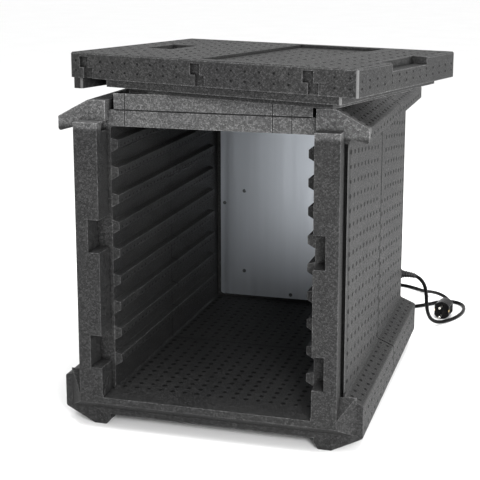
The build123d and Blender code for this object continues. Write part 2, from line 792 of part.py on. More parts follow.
# ---------------------------------------------------------------- door
slab_low = plateau_z + door_lift + plug_step + inner_step
slab_high = slab_low + slab_thick
half_length = door_length / 2
half_width = door_width / 2
with BuildPart() as door_slab:
    door_block((-half_length, -half_width, slab_low), (half_length, half_width, slab_high))
    lip_low = slab_low - lip_drop
    lip_end = lip_thick - half_length
    lip_half_width = half_width - lip_inset
    lip_top = slab_low + overrun
    door_block((-half_length, -lip_half_width, lip_low), (lip_end, lip_half_width, lip_top))
    fillet(door_slab.edges().filter_by(Axis.Z), radius=mould_radius)
    chamfer(door_slab.faces().sort_by(Axis.Z)[-1].edges(), length=slab_bevel)
    cut_top = slab_high + overrun
    panel_low = (panel_x[0], -panel_y, slab_high - panel_depth)
    door_block(panel_low, (panel_x[1], panel_y, cut_top), Mode.SUBTRACT)
    hand_low = (hand_x[0], -hand_y, slab_high - hand_depth)
    door_block(hand_low, (hand_x[1], hand_y, cut_top), Mode.SUBTRACT)
    finger_low = (half_length - finger_reach, -finger_width / 2, slab_high - finger_depth)
    door_block(finger_low, (half_length + overrun, finger_width / 2, cut_top), Mode.SUBTRACT)
    for start in side_pocket_x:
        for side in (-1, 1):
            edge = (side * (half_width - side_pocket_depth), side * (half_width + overrun))
            upper = slab_high - side_pocket_top
            middle = upper - side_pocket_height
            pocket_high = (start + side_pocket_width, max(edge), upper)
            door_block((start, min(edge), middle), pocket_high, Mode.SUBTRACT)
            step = start + side_pocket_width / 2
            step_high = (step + side_pocket_width, max(edge), middle)
            door_block((step, min(edge), slab_low - overrun), step_high, Mode.SUBTRACT)
save(door_slab.part, "door_slab")

with BuildPart() as door_plug:
    door_block(
        (plug_step_high - half_length, plug_step_inset - half_width, slab_low - plug_step),
        (half_length - plug_step_low, half_width - plug_step_inset, slab_low),
    )
    fillet(door_plug.edges().filter_by(Axis.Z), radius=mould_radius)
    inset = inner_step_inset
    door_block(
        (plug_step_high + inset - half_length, plug_step_inset + inset - half_width,
         slab_low - plug_step - inner_step),
        (half_length - plug_step_low - inset, half_width - plug_step_inset - inset,
         slab_low - plug_step),
    )
save(door_plug.part, "door_plug")
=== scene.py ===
import json
import math
import random

import bmesh
import bpy
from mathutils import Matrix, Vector


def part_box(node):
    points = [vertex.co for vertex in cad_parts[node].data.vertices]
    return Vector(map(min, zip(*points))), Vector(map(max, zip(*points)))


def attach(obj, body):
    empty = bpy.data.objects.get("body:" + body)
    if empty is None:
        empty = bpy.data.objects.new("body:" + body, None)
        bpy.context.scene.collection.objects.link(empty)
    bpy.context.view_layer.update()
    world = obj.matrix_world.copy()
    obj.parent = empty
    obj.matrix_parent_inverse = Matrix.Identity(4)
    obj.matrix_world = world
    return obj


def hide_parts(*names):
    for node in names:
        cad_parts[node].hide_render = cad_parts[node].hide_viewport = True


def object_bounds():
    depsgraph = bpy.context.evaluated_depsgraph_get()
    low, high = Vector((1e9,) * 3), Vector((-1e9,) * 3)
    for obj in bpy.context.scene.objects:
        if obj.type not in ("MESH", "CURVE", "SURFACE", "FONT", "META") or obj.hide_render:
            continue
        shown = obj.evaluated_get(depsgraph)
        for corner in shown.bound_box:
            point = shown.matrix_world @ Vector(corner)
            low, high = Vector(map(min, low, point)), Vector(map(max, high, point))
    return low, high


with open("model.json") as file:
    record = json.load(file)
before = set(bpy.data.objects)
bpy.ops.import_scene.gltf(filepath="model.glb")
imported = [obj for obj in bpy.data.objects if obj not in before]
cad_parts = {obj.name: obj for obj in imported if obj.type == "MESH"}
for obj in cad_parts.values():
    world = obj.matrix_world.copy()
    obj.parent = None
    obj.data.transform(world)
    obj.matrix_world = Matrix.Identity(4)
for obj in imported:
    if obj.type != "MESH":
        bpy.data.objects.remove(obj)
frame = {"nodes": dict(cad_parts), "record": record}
cad_low, cad_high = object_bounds()

# Looks of the insulated food carrier. Lengths are metres. Carrier places are measured from its mid
# plane (x), from the front plane of its side walls (y, growing to the rear) and from the floor (z).

# ---------------------------------------------------------------- the carrier's place and sizes
front_low, front_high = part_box("front_shell")
rear_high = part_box("rear_shell")[1]
post_reach = 0.027          # how far the posts stand out in front of the side walls
mid_x = (front_low.x + front_high.x) / 2
front_y = front_low.y + post_reach
wall_x = 0.220
wing_x = front_high.x - mid_x
seam_y = front_high.y - front_y
wall_end_y = 0.558
rear_y = rear_high.y - front_y
cavity_floor = 0.057
plateau_z = rear_high.z
foot_high_z = 0.079
foot_join_z = 0.091
wing_high_z = 0.51
shoulder_x = 0.199
shoulder_z = 0.537
seat_y = 0.015              # plane that the door closes against, the lintel's front
lintel_low_z = 0.495
lintel_groove_z = 0.521
lintel_seams_x = (-0.142, 0.098, 0.128)
lintel_half_width = 0.160
pry_slot_half_width = 0.003
pry_slot_depth = 0.008
runner_count = 9
runner_pitch = 0.0444
runner_first_top = 0.1204
runner_tip_x = 0.1545
door_angle = math.radians(-16.3)    # the laid door's turn, seen from above


def place(x, y, z):
    """Point of the row frame for a place on the carrier."""
    return Vector((mid_x + x, front_y + y, z))


# ---------------------------------------------------------------- node material helpers
class Shader:
    """A material under construction: adds nodes and joins them by their sockets' names."""

    def __init__(self, name, **constants):
        self.material = bpy.data.materials.new(name)
        self.material.use_nodes = True
        self.tree = self.material.node_tree
        self.surface = self.tree.nodes["Principled BSDF"]
        for socket, value in constants.items():
            self.surface.inputs[socket.replace("_", " ")].default_value = value
        self.place = self.node("ShaderNodeTexCoord").outputs["Object"]

    def node(self, kind, **settings):
        made = self.tree.nodes.new(kind)
        for name, value in settings.items():
            setattr(made, name, value)
        return made

    def join(self, source, target):
        self.tree.links.new(source, target)

    def stretched(self, scale):
        mapping = self.node("ShaderNodeMapping")
        mapping.inputs["Scale"].default_value = scale
        self.join(self.place, mapping.inputs["Vector"])
        return mapping.outputs["Vector"]

    def noise(self, scale, detail=2.0, roughness=0.5, vector=None):
        made = self.node("ShaderNodeTexNoise")
        made.inputs["Scale"].default_value = scale
        made.inputs["Detail"].default_value = detail
        made.inputs["Roughness"].default_value = roughness
        self.join(vector or self.place, made.inputs["Vector"])
        return made.outputs["Fac"]

    def cells(self, scale, feature="F1", output="Distance", vector=None):
        made = self.node("ShaderNodeTexVoronoi", feature=feature)
        made.inputs["Scale"].default_value = scale
        self.join(vector or self.place, made.inputs["Vector"])
        return made.outputs[output]

    def grey(self, colour):
        made = self.node("ShaderNodeSeparateColor")
        self.join(colour, made.inputs["Color"])
        return made.outputs["Red"]

    def ramp(self, source, *stops):
        made = self.node("ShaderNodeValToRGB")
        elements = made.color_ramp.elements
        while len(elements) < len(stops):
            elements.new(0.5)
        for element, (position, colour) in zip(elements, stops):
            element.position = position
            element.color = (*colour, 1.0)
        self.join(source, made.inputs["Fac"])
        return made.outputs["Color"]

    def span(self, source, from_low, from_high, to_low, to_high):
        made = self.node("ShaderNodeMapRange")
        for name, value in (
            ("From Min", from_low), ("From Max", from_high), ("To Min", to_low), ("To Max", to_high)
        ):
            made.inputs[name].default_value = value
        self.join(source, made.inputs["Value"])
        return made.outputs["Result"]

    def maths(self, operation, first, second):
        made = self.node("ShaderNodeMath", operation=operation)
        for socket, value in zip(made.inputs, (first, second)):
            if isinstance(value, (int, float)):
                socket.default_value = value
            else:
                self.join(value, socket)
        return made.outputs["Value"]

    def mix(self, factor, first, second, blend="MIX"):
        made = self.node("ShaderNodeMix", data_type="RGBA", blend_type=blend)
        # 0, 6 and 7 are the factor and the two colours of a mix of colours
        for index, value in ((0, factor), (6, first), (7, second)):
            socket = made.inputs[index]
            if isinstance(value, (int, float)):
                socket.default_value = value
            elif isinstance(value, tuple):
                socket.default_value = (*value, 1.0)
            else:
                self.join(value, socket)
        return made.outputs[2]

    def scaled(self, colour, factor):
        """A colour made lighter or darker by a factor."""
        return self.mix(1.0, colour, (factor,) * 3, "MULTIPLY")

    def axes(self, vector):
        """The X, Y and Z outputs of a vector."""
        made = self.node("ShaderNodeSeparateXYZ")
        self.join(vector, made.inputs["Vector"])
        return made.outputs

    def away(self, source, value):
        """Distance between a source and a value, on one axis."""
        return self.maths("ABSOLUTE", self.maths("SUBTRACT", source, value), 0.0)

    def bump(self, height, strength, distance):
        made = self.node("ShaderNodeBump")
        made.inputs["Strength"].default_value = strength
        made.inputs["Distance"].default_value = distance
        self.join(height, made.inputs["Height"])
        self.join(made.outputs["Normal"], self.surface.inputs["Normal"])

    def lintel_band(self):
        """1 on the front faces of the lintel and heads, which are painted lighter as if lit, and 0
        elsewhere.
        """
        axes = self.axes(self.place)
        high = self.span(axes["Z"], lintel_low_z - 0.003, lintel_low_z + 0.003, 0.0, 1.0)
        low = self.span(axes["Z"], plateau_z - 0.0005, plateau_z + 0.0005, 1.0, 0.0)
        near = self.span(axes["Y"], front_y + seat_y, front_y + seat_y + 0.006, 1.0, 0.0)
        return self.maths("MULTIPLY", self.maths("MULTIPLY", high, low), near)

    def seam_shade(self):
        """1 in the seam between the shells, its pry slots and the lintel's lines, and 0 elsewhere."""
        axes = self.axes(self.place)
        off_seam = self.away(axes["Y"], front_y + seam_y)
        line = self.span(off_seam, 0.0014, 0.0026, 1.0, 0.0)
        off_middle = self.away(axes["X"], mid_x)
        sunk = self.span(off_middle, wall_x - 0.0004, wall_x - 0.0001, 1.0, 0.0)
        slot_side = pry_slot_half_width
        in_slot = self.span(off_seam, slot_side + 0.0001, slot_side + 0.0006, 1.0, 0.0)
        slot_bottom = wall_x - pry_slot_depth
        outer = self.span(off_middle, slot_bottom - 0.004, slot_bottom - 0.002, 0.0, 1.0)
        slot = self.maths("MULTIPLY", self.maths("MULTIPLY", sunk, in_slot), outer)
        # painted shade along the lintel's groove and upright seams
        lintel_line_shade = self.maths("MULTIPLY", self.lintel_band(), self.lintel_lines(axes))
        return self.maths("MAXIMUM", self.maths("MAXIMUM", line, slot), lintel_line_shade)

    def lintel_lines(self, axes):
        """1 along the groove and the upright seams in the front of the lintel, and 0 beside them."""
        groove_shade = self.span(self.away(axes["Z"], lintel_groove_z), 0.0010, 0.0018, 1.0, 0.0)
        off_middle = self.away(axes["X"], mid_x)
        between = self.span(off_middle, lintel_half_width - 0.001, lintel_half_width, 1.0, 0.0)
        lines = self.maths("MULTIPLY", groove_shade, between)
        for x in lintel_seams_x:
            seam = self.span(self.away(axes["X"], mid_x + x), 0.0006, 0.0012, 0.8, 0.0)
            lines = self.maths("MAXIMUM", lines, seam)
        return lines

    def upright_corner(self, angle):
        """1 on rounded upright corners between faces turned by an angle, and 0 on the faces."""
        face = self.node("ShaderNodeNewGeometry")
        turn = self.node("ShaderNodeVectorRotate", rotation_type="Z_AXIS")
        turn.inputs["Angle"].default_value = -angle
        self.join(face.outputs["Normal"], turn.inputs["Vector"])
        axes = self.axes(turn.outputs["Vector"])
        both = self.maths("MULTIPLY", axes["X"], axes["Y"])
        return self.span(self.maths("ABSOLUTE", both, 0.0), 0.12, 0.35, 0.0, 1.0)

    def edge_lean(self, radius):
        """0 on open faces, rising to 1 at edges and corners: the mask of the painted edge highlight."""
        rounded = self.node("ShaderNodeBevel", samples=4)
        rounded.inputs["Radius"].default_value = radius
        face = self.node("ShaderNodeNewGeometry")
        lean = self.node("ShaderNodeVectorMath", operation="DOT_PRODUCT")
        self.join(rounded.outputs["Normal"], lean.inputs[0])
        self.join(face.outputs["True Normal"], lean.inputs[1])
        return self.span(lean.outputs["Value"], 0.995, 0.85, 0.0, 1.0)

    def openness(self, reach):
        """1 on open faces, falling towards 0 in grooves and inside corners narrower than a reach."""
        sheltered = self.node("ShaderNodeAmbientOcclusion", samples=4, only_local=True)
        sheltered.inputs["Distance"].default_value = reach
        return sheltered.outputs["AO"]

    def paint(self, colour=None, roughness=None):
        if colour is not None:
            self.join(colour, self.surface.inputs["Base Color"])
        if roughness is not None:
            self.join(roughness, self.surface.inputs["Roughness"])
        return self.material


def bead_foam(name, tone, turn=0.0, edge_highlight_gain=2.6):
    """Moulded bead foam: packed beads a few millimetres across, each a slightly different grey.

    Edges get a painted highlight; sheltered corners and grooves, the seam, its pry slots and the
    lintel's lines get painted shade; the front faces of the lintel and heads are painted lighter, as if
    lit. A turn adds painted highlights to the upright corners of a block that stands turned by that
    angle.
    """
    bead_scale = 420.0
    contrast = 0.65
    lintel_highlight_gain = 3.0
    seam_loss = 0.16
    s = Shader(name, Specular_IOR_Level=0.07)
    wobble = s.node("ShaderNodeMixRGB", blend_type="ADD")
    wobble.inputs["Fac"].default_value = 0.0025
    jitter = s.node("ShaderNodeTexNoise")
    jitter.inputs["Scale"].default_value = 180.0
    s.join(s.place, jitter.inputs["Vector"])
    s.join(s.place, wobble.inputs["Color1"])
    s.join(jitter.outputs["Color"], wobble.inputs["Color2"])
    beads = wobble.outputs["Color"]
    each_bead = s.grey(s.cells(bead_scale, output="Color", vector=beads))
    border = s.cells(bead_scale, feature="DISTANCE_TO_EDGE", vector=beads)
    dome = s.cells(bead_scale, vector=beads)
    grain = s.noise(900.0, detail=3.0, roughness=0.7)
    drift = s.noise(9.0, detail=3.0)
    low, mid, high = (tuple(c * k for c in tone) for k in (1 - 0.5 * contrast, 1.0, 1 + 0.9 * contrast))
    shade = s.ramp(each_bead, (0.05, low), (0.5, mid), (0.95, high))
    crease = s.span(border, 0.0, 0.12, 0.45, 1.0)
    shade = s.mix(1.0, shade, s.ramp(crease, (0.0, (0, 0, 0)), (1.0, (1, 1, 1))), "MULTIPLY")
    speckle = s.ramp(grain, (0.3, (0.6, 0.6, 0.6)), (0.7, (1.4, 1.4, 1.4)))
    shade = s.mix(0.7, shade, speckle, "MULTIPLY")
    # painted light: the front faces of the lintel and heads made three times lighter
    shade = s.mix(s.lintel_band(), shade, s.scaled(shade, lintel_highlight_gain))
    openness = s.openness(0.008)
    # painted highlight on convex edges and corners, kept out of grooves
    edge_highlight = s.maths("MULTIPLY", s.edge_lean(0.0025), s.span(openness, 0.80, 0.95, 0.0, 1.0))
    shade = s.mix(edge_highlight, shade, s.scaled(shade, edge_highlight_gain))
    if turn:
        # painted highlight on the upright rounded corners of the turned block
        corners = s.maths("MULTIPLY", s.upright_corner(turn), 0.8)
        shade = s.mix(corners, shade, (0.12, 0.12, 0.12))
    # painted shade: darker in grooves and inside corners, by how sheltered they are
    groove_shade = s.ramp(openness, (0.15, (0.2, 0.2, 0.2)), (0.85, (1.0, 1.0, 1.0)))
    shade = s.mix(1.0, shade, groove_shade, "MULTIPLY")
    shade = s.mix(s.seam_shade(), shade, s.scaled(shade, seam_loss))
    cloud = s.ramp(drift, (0.3, (0.85, 0.85, 0.86)), (0.7, (1.12, 1.12, 1.1)))
    shade = s.mix(0.8, shade, cloud, "MULTIPLY")
    height = s.maths("SUBTRACT", s.span(border, 0.0, 0.2, 0.0, 1.0), s.maths("MULTIPLY", dome, 0.6))
    height = s.maths("ADD", height, s.maths("MULTIPLY", grain, 0.35))
    s.bump(height, 0.6, 0.0004)
    return s.paint(shade, s.span(each_bead, 0.0, 1.0, 0.42, 0.68))


def rolled_steel(name, tone, grain_scale, rough_low, rough_high):
    """Satin rolled sheet: fine lines one way, a little waviness and faint handling marks."""
    s = Shader(name, Metallic=1.0)
    lines = s.noise(1.0, detail=4.0, roughness=0.65, vector=s.stretched(grain_scale))
    waves = s.noise(6.0, detail=2.0)
    marks = s.noise(28.0, detail=5.0, roughness=0.7)
    low, high = tuple(c * 0.93 for c in tone), tuple(min(1.0, c * 1.06) for c in tone)
    lined = s.ramp(lines, (0.3, low), (0.7, high))
    waved = s.ramp(waves, (0.35, low), (0.65, high))
    shade = s.mix(0.35, lined, waved)
    brushed = s.span(lines, 0.3, 0.7, rough_low, rough_high)
    rough = s.maths("ADD", brushed, s.maths("MULTIPLY", marks, 0.06))
    s.bump(s.maths("ADD", s.maths("MULTIPLY", lines, 0.3), waves), 0.18, 0.0006)
    return s.paint(shade, rough)


def moulded_plastic(name, tone, rough=0.45, texture_scale=1400.0, spread=0.12, shine=0.5):
    """Injection-moulded plastic with a fine spark-eroded texture and slight tone drift."""
    s = Shader(name, Specular_IOR_Level=shine)
    texture = s.noise(texture_scale, detail=2.0)
    drift = s.noise(40.0, detail=3.0)
    low, high = (tuple(c * k for c in tone) for k in (1 - spread, 1 + spread))
    s.bump(texture, 0.5, 0.00008)
    roughness = s.span(texture, 0.3, 0.7, rough - 0.06, rough + 0.08)
    return s.paint(s.ramp(drift, (0.3, low), (0.7, high)), roughness)


def soft_rubber(name, tone, rough=0.5, shine=0.45):
    """Rubber jacket: a dull skin with faint length marks and a little dust."""
    s = Shader(name, Specular_IOR_Level=shine)
    skin = s.noise(700.0, detail=3.0)
    dust = s.noise(60.0, detail=5.0, roughness=0.7)
    dusty = tuple(c * 1.7 + 0.002 for c in tone)
    s.bump(skin, 0.35, 0.00006)
    roughness = s.span(dust, 0.3, 0.8, rough - 0.08, rough + 0.12)
    return s.paint(s.ramp(dust, (0.45, tone), (0.8, dusty)), roughness)


def bright_metal(name, tone, rough=0.22):
    """Turned or plated metal with fine scratches."""
    s = Shader(name, Metallic=1.0)
    scratches = s.noise(1.0, detail=4.0, vector=s.stretched((300.0, 3000.0, 300.0)))
    tarnish = s.noise(150.0, detail=3.0)
    dull = tuple(c * 0.82 for c in tone)
    s.bump(scratches, 0.2, 0.00004)
    roughness = s.span(scratches, 0.3, 0.7, rough, rough + 0.15)
    return s.paint(s.ramp(tarnish, (0.35, tone), (0.8, dull)), roughness)


def woven_band(name, tone):
    """Narrow woven strap: crossing yarns with a soft pile."""
    s = Shader(name, Sheen_Weight=0.4)
    warp = s.node("ShaderNodeTexWave", wave_type="BANDS", bands_direction="X")
    weft = s.node("ShaderNodeTexWave", wave_type="BANDS", bands_direction="Z")
    for wave in (warp, weft):
        wave.inputs["Scale"].default_value = 420.0
        wave.inputs["Distortion"].default_value = 1.2
        s.join(s.place, wave.inputs["Vector"])
    weave = s.maths("MAXIMUM", warp.outputs["Fac"], weft.outputs["Fac"])
    fuzz = s.noise(2500.0, detail=2.0)
    low, high = (tuple(c * k for c in tone) for k in (0.6, 1.5))
    s.bump(s.maths("ADD", weave, fuzz), 0.7, 0.0002)
    return s.paint(s.ramp(weave, (0.2, low), (0.9, high)), s.span(fuzz, 0.3, 0.7, 0.75, 0.95))


def felted_fibre(name, tone):
    """Needled insulation felt: matted fibres in uneven clumps."""
    s = Shader(name, Sheen_Weight=0.2)
    fibres = s.noise(1.0, detail=6.0, roughness=0.8, vector=s.stretched((900.0, 900.0, 260.0)))
    clumps = s.cells(70.0)
    low, high = (tuple(c * k for c in tone) for k in (0.65, 1.1))
    s.bump(s.maths("ADD", fibres, clumps), 0.8, 0.0008)
    return s.paint(s.ramp(fibres, (0.3, low), (0.7, high)), s.span(clumps, 0.0, 1.0, 0.8, 0.95))


# ---------------------------------------------------------------- materials
foam_tone = (0.0255, 0.0255, 0.0257)
foam = bead_foam("bead_foam", foam_tone)
# the door's foam: the same foam with painted highlights on its upright corners and stronger painted
# edge highlights
highlit_door_foam = bead_foam("door_bead_foam", foam_tone, turn=door_angle, edge_highlight_gain=3.6)
# near-black vent marks: partly their own tone, partly painted shade of their sunk centres
vent_mark_shade_tone = (0.006, 0.006, 0.006)
vent_mark_shade_finish = moulded_plastic("vent_mark_shade_skin", vent_mark_shade_tone, rough=0.6, texture_scale=2600.0, shine=0.06)
steel_sheet = rolled_steel("satin_steel", (0.47, 0.50, 0.54), (60.0, 60.0, 2.0), 0.30, 0.40)
clamp_sheet = rolled_steel("mill_aluminium", (0.76, 0.77, 0.79), (3.0, 60.0, 60.0), 0.35, 0.5)
fastener = bright_metal("stainless_fastener", (0.13, 0.135, 0.14), 0.3)
plating = bright_metal("plated_brass", (0.80, 0.78, 0.72), 0.16)
brass = bright_metal("clip_brass", (0.80, 0.62, 0.32), 0.25)
box_plastic = moulded_plastic("box_polyamide", (0.016, 0.016, 0.017), 0.48)
gland_plastic = moulded_plastic("gland_polyamide", (0.007, 0.007, 0.0075), 0.34, shine=0.25)
light_plastic = moulded_plastic("terminal_polyamide", (0.72, 0.72, 0.68), 0.4, spread=0.05)
grey_nylon = moulded_plastic("anchor_nylon", (0.36, 0.37, 0.36), 0.45)
phenolic = moulded_plastic("switch_phenolic", (0.060, 0.045, 0.035), 0.35)
silicone = soft_rubber("silicone_mat", (0.40, 0.075, 0.03), 0.55)
wire_skin = soft_rubber("wire_silicone", (0.32, 0.18, 0.07), 0.4)
jacket = soft_rubber("cord_jacket", (0.0015, 0.0015, 0.0016), 0.25, shine=0.05)
plug_skin = soft_rubber("plug_rubber", (0.002, 0.002, 0.0021), 0.28, shine=0.08)
felt = felted_fibre("needled_felt", (0.62, 0.57, 0.47))
strap = woven_band("tie_strap", (0.03, 0.03, 0.032))

finishes = {
    "epp": foam,
    "stainless": steel_sheet,
    "screw_steel": fastener,
    "aluminium": clamp_sheet,
    "silicone": silicone,
    "wool": felt,
    "anchor_nylon": grey_nylon,
    "switch_ceramic": phenolic,
    "box_plastic": box_plastic,
    "terminal_plastic": light_plastic,
    "lead_insulation": wire_skin,
    "gland_plastic": gland_plastic,
    "cord_rubber": jacket,
    "plug_rubber": plug_skin,
    "plated_brass": plating,
    "tie_fabric": strap,
}
for row in frame["record"]["subparts"]:
    node = frame["nodes"][row["node"]]
    node.data.materials.clear()
    node.data.materials.append(finishes[row["material_slot"]])
frame["nodes"]["plug_earth_clips"].data.materials[0] = brass
for name in ("door_slab", "door_plug"):
    frame["nodes"][name].data.materials[0] = highlit_door_foam


# ---------------------------------------------------------------- making and fitting pieces
def add_piece(name, mesh_data, body, material):
    """Puts a finished mesh or curve into the scene, riding on a CAD body."""
    piece = bpy.data.objects.new(name, mesh_data)
    bpy.context.scene.collection.objects.link(piece)
    piece.data.materials.append(material)
    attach(piece, body)
    return piece


def mesh_from(name, bm, smooth=True):
    """Closes a bmesh into mesh data with outward faces."""
    bmesh.ops.recalc_face_normals(bm, faces=bm.faces)
    data = bpy.data.meshes.new(name)
    bm.to_mesh(data)
    bm.free()
    for polygon in data.polygons:
        polygon.use_smooth = smooth
    return data


def ring_of(bm, centre, across, up, radius, sides):
    """One ring of vertices round a centre, in the plane of two directions."""
    turn = 2 * math.pi / sides
    return [
        bm.verts.new(centre + radius * (math.cos(i * turn) * across + math.sin(i * turn) * up))
        for i in range(sides)
    ]


def bridge(bm, first, second):
    """Faces between two rings with the same number of vertices."""
    for i, vertex in enumerate(first):
        following = (i + 1) % len(first)
        bm.faces.new((vertex, first[following], second[following], second[i]))


def sideways(direction):
    """Two unit directions square to a direction and to each other."""
    helper = Vector((0, 0, 1)) if abs(direction.z) < 0.9 else Vector((1, 0, 0))
    across = direction.cross(helper).normalized()
    return across, across.cross(direction).normalized()


def turned(bm, start, direction, profile, sides):
    """Closed turned shape: profile is (distance along, radius) pairs from one end to the other."""
    across, up = sideways(direction)
    rings = [
        ring_of(bm, start + along * direction, across, up, radius, sides) for along, radius in profile
    ]
    for first, second in zip(rings, rings[1:]):
        bridge(bm, first, second)
    bm.faces.new(reversed(rings[0]))
    bm.faces.new(rings[-1])


# ---------------------------------------------------------------- mains lead
# the route's points, measured like the carrier, in metres
cord_diameter = 0.0075
lead_route = (
    (0.217, 0.602, 0.125), (0.232, 0.602, 0.125), (0.248, 0.603, 0.121), (0.260, 0.606, 0.107),
    (0.264, 0.611, 0.086), (0.264, 0.619, 0.062), (0.265, 0.632, 0.039), (0.270, 0.650, 0.019),
    (0.282, 0.672, 0.0065), (0.300, 0.698, 0.0041), (0.316, 0.730, 0.0041), (0.324, 0.766, 0.0041),
    (0.324, 0.798, 0.0041), (0.317, 0.823, 0.0041), (0.299, 0.838, 0.0041), (0.277, 0.836, 0.0041),
    (0.259, 0.819, 0.0041), (0.236, 0.793, 0.0041), (0.206, 0.770, 0.0041), (0.172, 0.757, 0.0045),
    (0.136, 0.754, 0.0052),
)
tail_route = (
    (0.051, 0.832, 0.0105), (0.055, 0.858, 0.0055), (0.070, 0.892, 0.0041), (0.096, 0.920, 0.0041),
    (0.132, 0.938, 0.0041), (0.170, 0.938, 0.0041), (0.202, 0.919, 0.0041), (0.226, 0.890, 0.007),
    (0.246, 0.861, 0.016), (0.266, 0.833, 0.021), (0.284, 0.809, 0.0205), (0.2935, 0.7853, 0.0189),
)
coil_centre = (0.095, 0.800)
coil_turns = 3.25
coil_outer_turn = 0.046
coil_inner_turn = 0.0385
coil_lower_z = 0.0052
coil_upper_z = 0.0117
points_per_turn = 14


def coil_points():
    """Turns of the put-away coil, wound clockwise: outer turn, inner turn, then back over the top."""
    steps = round(coil_turns * points_per_turn)
    made = []
    for step in range(1, steps):
        turn = step / points_per_turn
        angle = math.radians(-90) - 2 * math.pi * turn
        inward = min(max((turn - 0.85) / 0.3, 0.0), 1.0)
        rise = min(max((turn - 1.85) / 0.3, 0.0), 1.0)
        outward = min(max((turn - 1.9) / 0.35, 0.0), 1.0)
        radius = coil_outer_turn + (coil_inner_turn - coil_outer_turn) * (inward - 0.75 * outward)
        height = coil_lower_z + (coil_upper_z - coil_lower_z) * rise
        x = coil_centre[0] + radius * math.cos(angle)
        made.append((x, coil_centre[1] + radius * math.sin(angle), height))
    return made


def cord_curve():
    """The whole cord as one open NURBS spline through its route and its coil."""
    data = bpy.data.curves.new("mains_cord", "CURVE")
    data.dimensions = "3D"
    data.bevel_depth = cord_diameter / 2
    data.bevel_resolution = 4
    data.use_fill_caps = True
    route = [place(*p) for p in (*lead_route, *coil_points(), *tail_route)]
    spline = data.splines.new("NURBS")
    spline.points.add(len(route) - 1)
    for point, co in zip(spline.points, route):
        point.co = (*co, 1.0)
    spline.order_u = 3
    spline.use_endpoint_u = True
    spline.resolution_u = 6
    return data


mains_cord = add_piece("mains_cord", cord_curve(), "carrier", jacket)
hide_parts("mains_lead", "mains_lead_coil", "mains_lead_tail")


def centreline(curve_piece):
    """Points along the cord's own line, in the row frame."""
    bare = curve_piece.data.copy()
    bare.bevel_depth = 0.0
    holder = bpy.data.objects.new("bare_line", bare)
    line = bpy.data.meshes.new_from_object(holder)
    points = [vertex.co.copy() for vertex in line.vertices]
    bpy.data.objects.remove(holder)
    bpy.data.meshes.remove(line)
    bpy.data.curves.remove(bare)
    return points


cord_line = centreline(mains_cord)


def walk(points, distance):
    """Point and direction a distance along a line of points."""
    for here, after in zip(points, points[1:]):
        step = (after - here).length
        if distance <= step:
            return here + (after - here) * (distance / step), (after - here).normalized()
        distance -= step
    return points[-1], (points[-1] - points[-2]).normalized()


def ribbed_relief(name, points, length, root, tip, ribs, material, body):
    """Tapered strain relief with ribs and slots, following the first stretch of a line of points."""
    sides = 24
    stations = []
    for rib in range(ribs):
        start = rib / ribs
        taper = root + (tip - root) * start
        stations += [(start, taper), (start + 0.55 / ribs, taper * 0.985)]
        stations += [(start + 0.62 / ribs, taper * 0.80), (start + 0.93 / ribs, taper * 0.78)]
    stations += [(0.985, tip * 1.02), (1.0, tip * 0.9)]
    bm = bmesh.new()
    rings = []
    for share, radius in stations:
        centre, direction = walk(points, share * length)
        across, up = sideways(direction)
        rings.append(ring_of(bm, centre, across, up, radius, sides))
    for first, second in zip(rings, rings[1:]):
        bridge(bm, first, second)
    bm.faces.new(reversed(rings[0]))
    bm.faces.new(rings[-1])
    piece = add_piece(name, mesh_from(name, bm), body, material)
    bevel = piece.modifiers.new("soft_edges", "BEVEL")
    bevel.width = 0.0003
    bevel.segments = 2
    return piece


lead_relief = ribbed_relief(
    "lead_strain_relief", cord_line, 0.026, 0.0075, 0.0048, 5, gland_plastic, "carrier"
)

# ---------------------------------------------------------------- plug
plug_heading = math.radians(262.0)
plug_forward = Vector((math.cos(plug_heading), math.sin(plug_heading), 0))
plug_side = Vector((-plug_forward.y, plug_forward.x, 0))
plug_face = place(0.284, 0.718, 0.0189)
plug_length = 0.038
plug_flat = 0.0155
boot_length = 0.030
boot_root = 0.010
boot_tip = 0.0055

plug_rear = plug_face - plug_forward * plug_length
boot_end = plug_rear - plug_forward * boot_length
plug_relief = ribbed_relief(
    "plug_strain_relief", [plug_rear, boot_end], boot_length, boot_root, boot_tip, 6, plug_skin,
    "carrier"
)
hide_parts("plug_boot")


def grip_ribs():
    """Low rounded finger ribs across the two flat sides of the plug."""
    rib_count = 5
    rib_pitch = 0.0045
    rib_half_height = 0.0085
    rib_radius = 0.0011
    sunk = 0.0004
    bm = bmesh.new()
    for side in (-1, 1):
        for rib in range(rib_count):
            along = 0.012 + rib * rib_pitch
            centre = plug_face - plug_forward * along + plug_side * side * (plug_flat - sunk)
            bottom = centre - Vector((0, 0, rib_half_height))
            profile = (
                (0, 0.0002), (0.0004, 0.0008), (0.0011, rib_radius),
                (2 * rib_half_height - 0.0011, rib_radius), (2 * rib_half_height - 0.0004, 0.0008),
                (2 * rib_half_height, 0.0002),
            )
            turned(bm, bottom, Vector((0, 0, 1)), profile, 12)
    return mesh_from("plug_grip_ribs", bm)


plug_ribs = add_piece("plug_grip_ribs", grip_ribs(), "carrier", plug_skin)


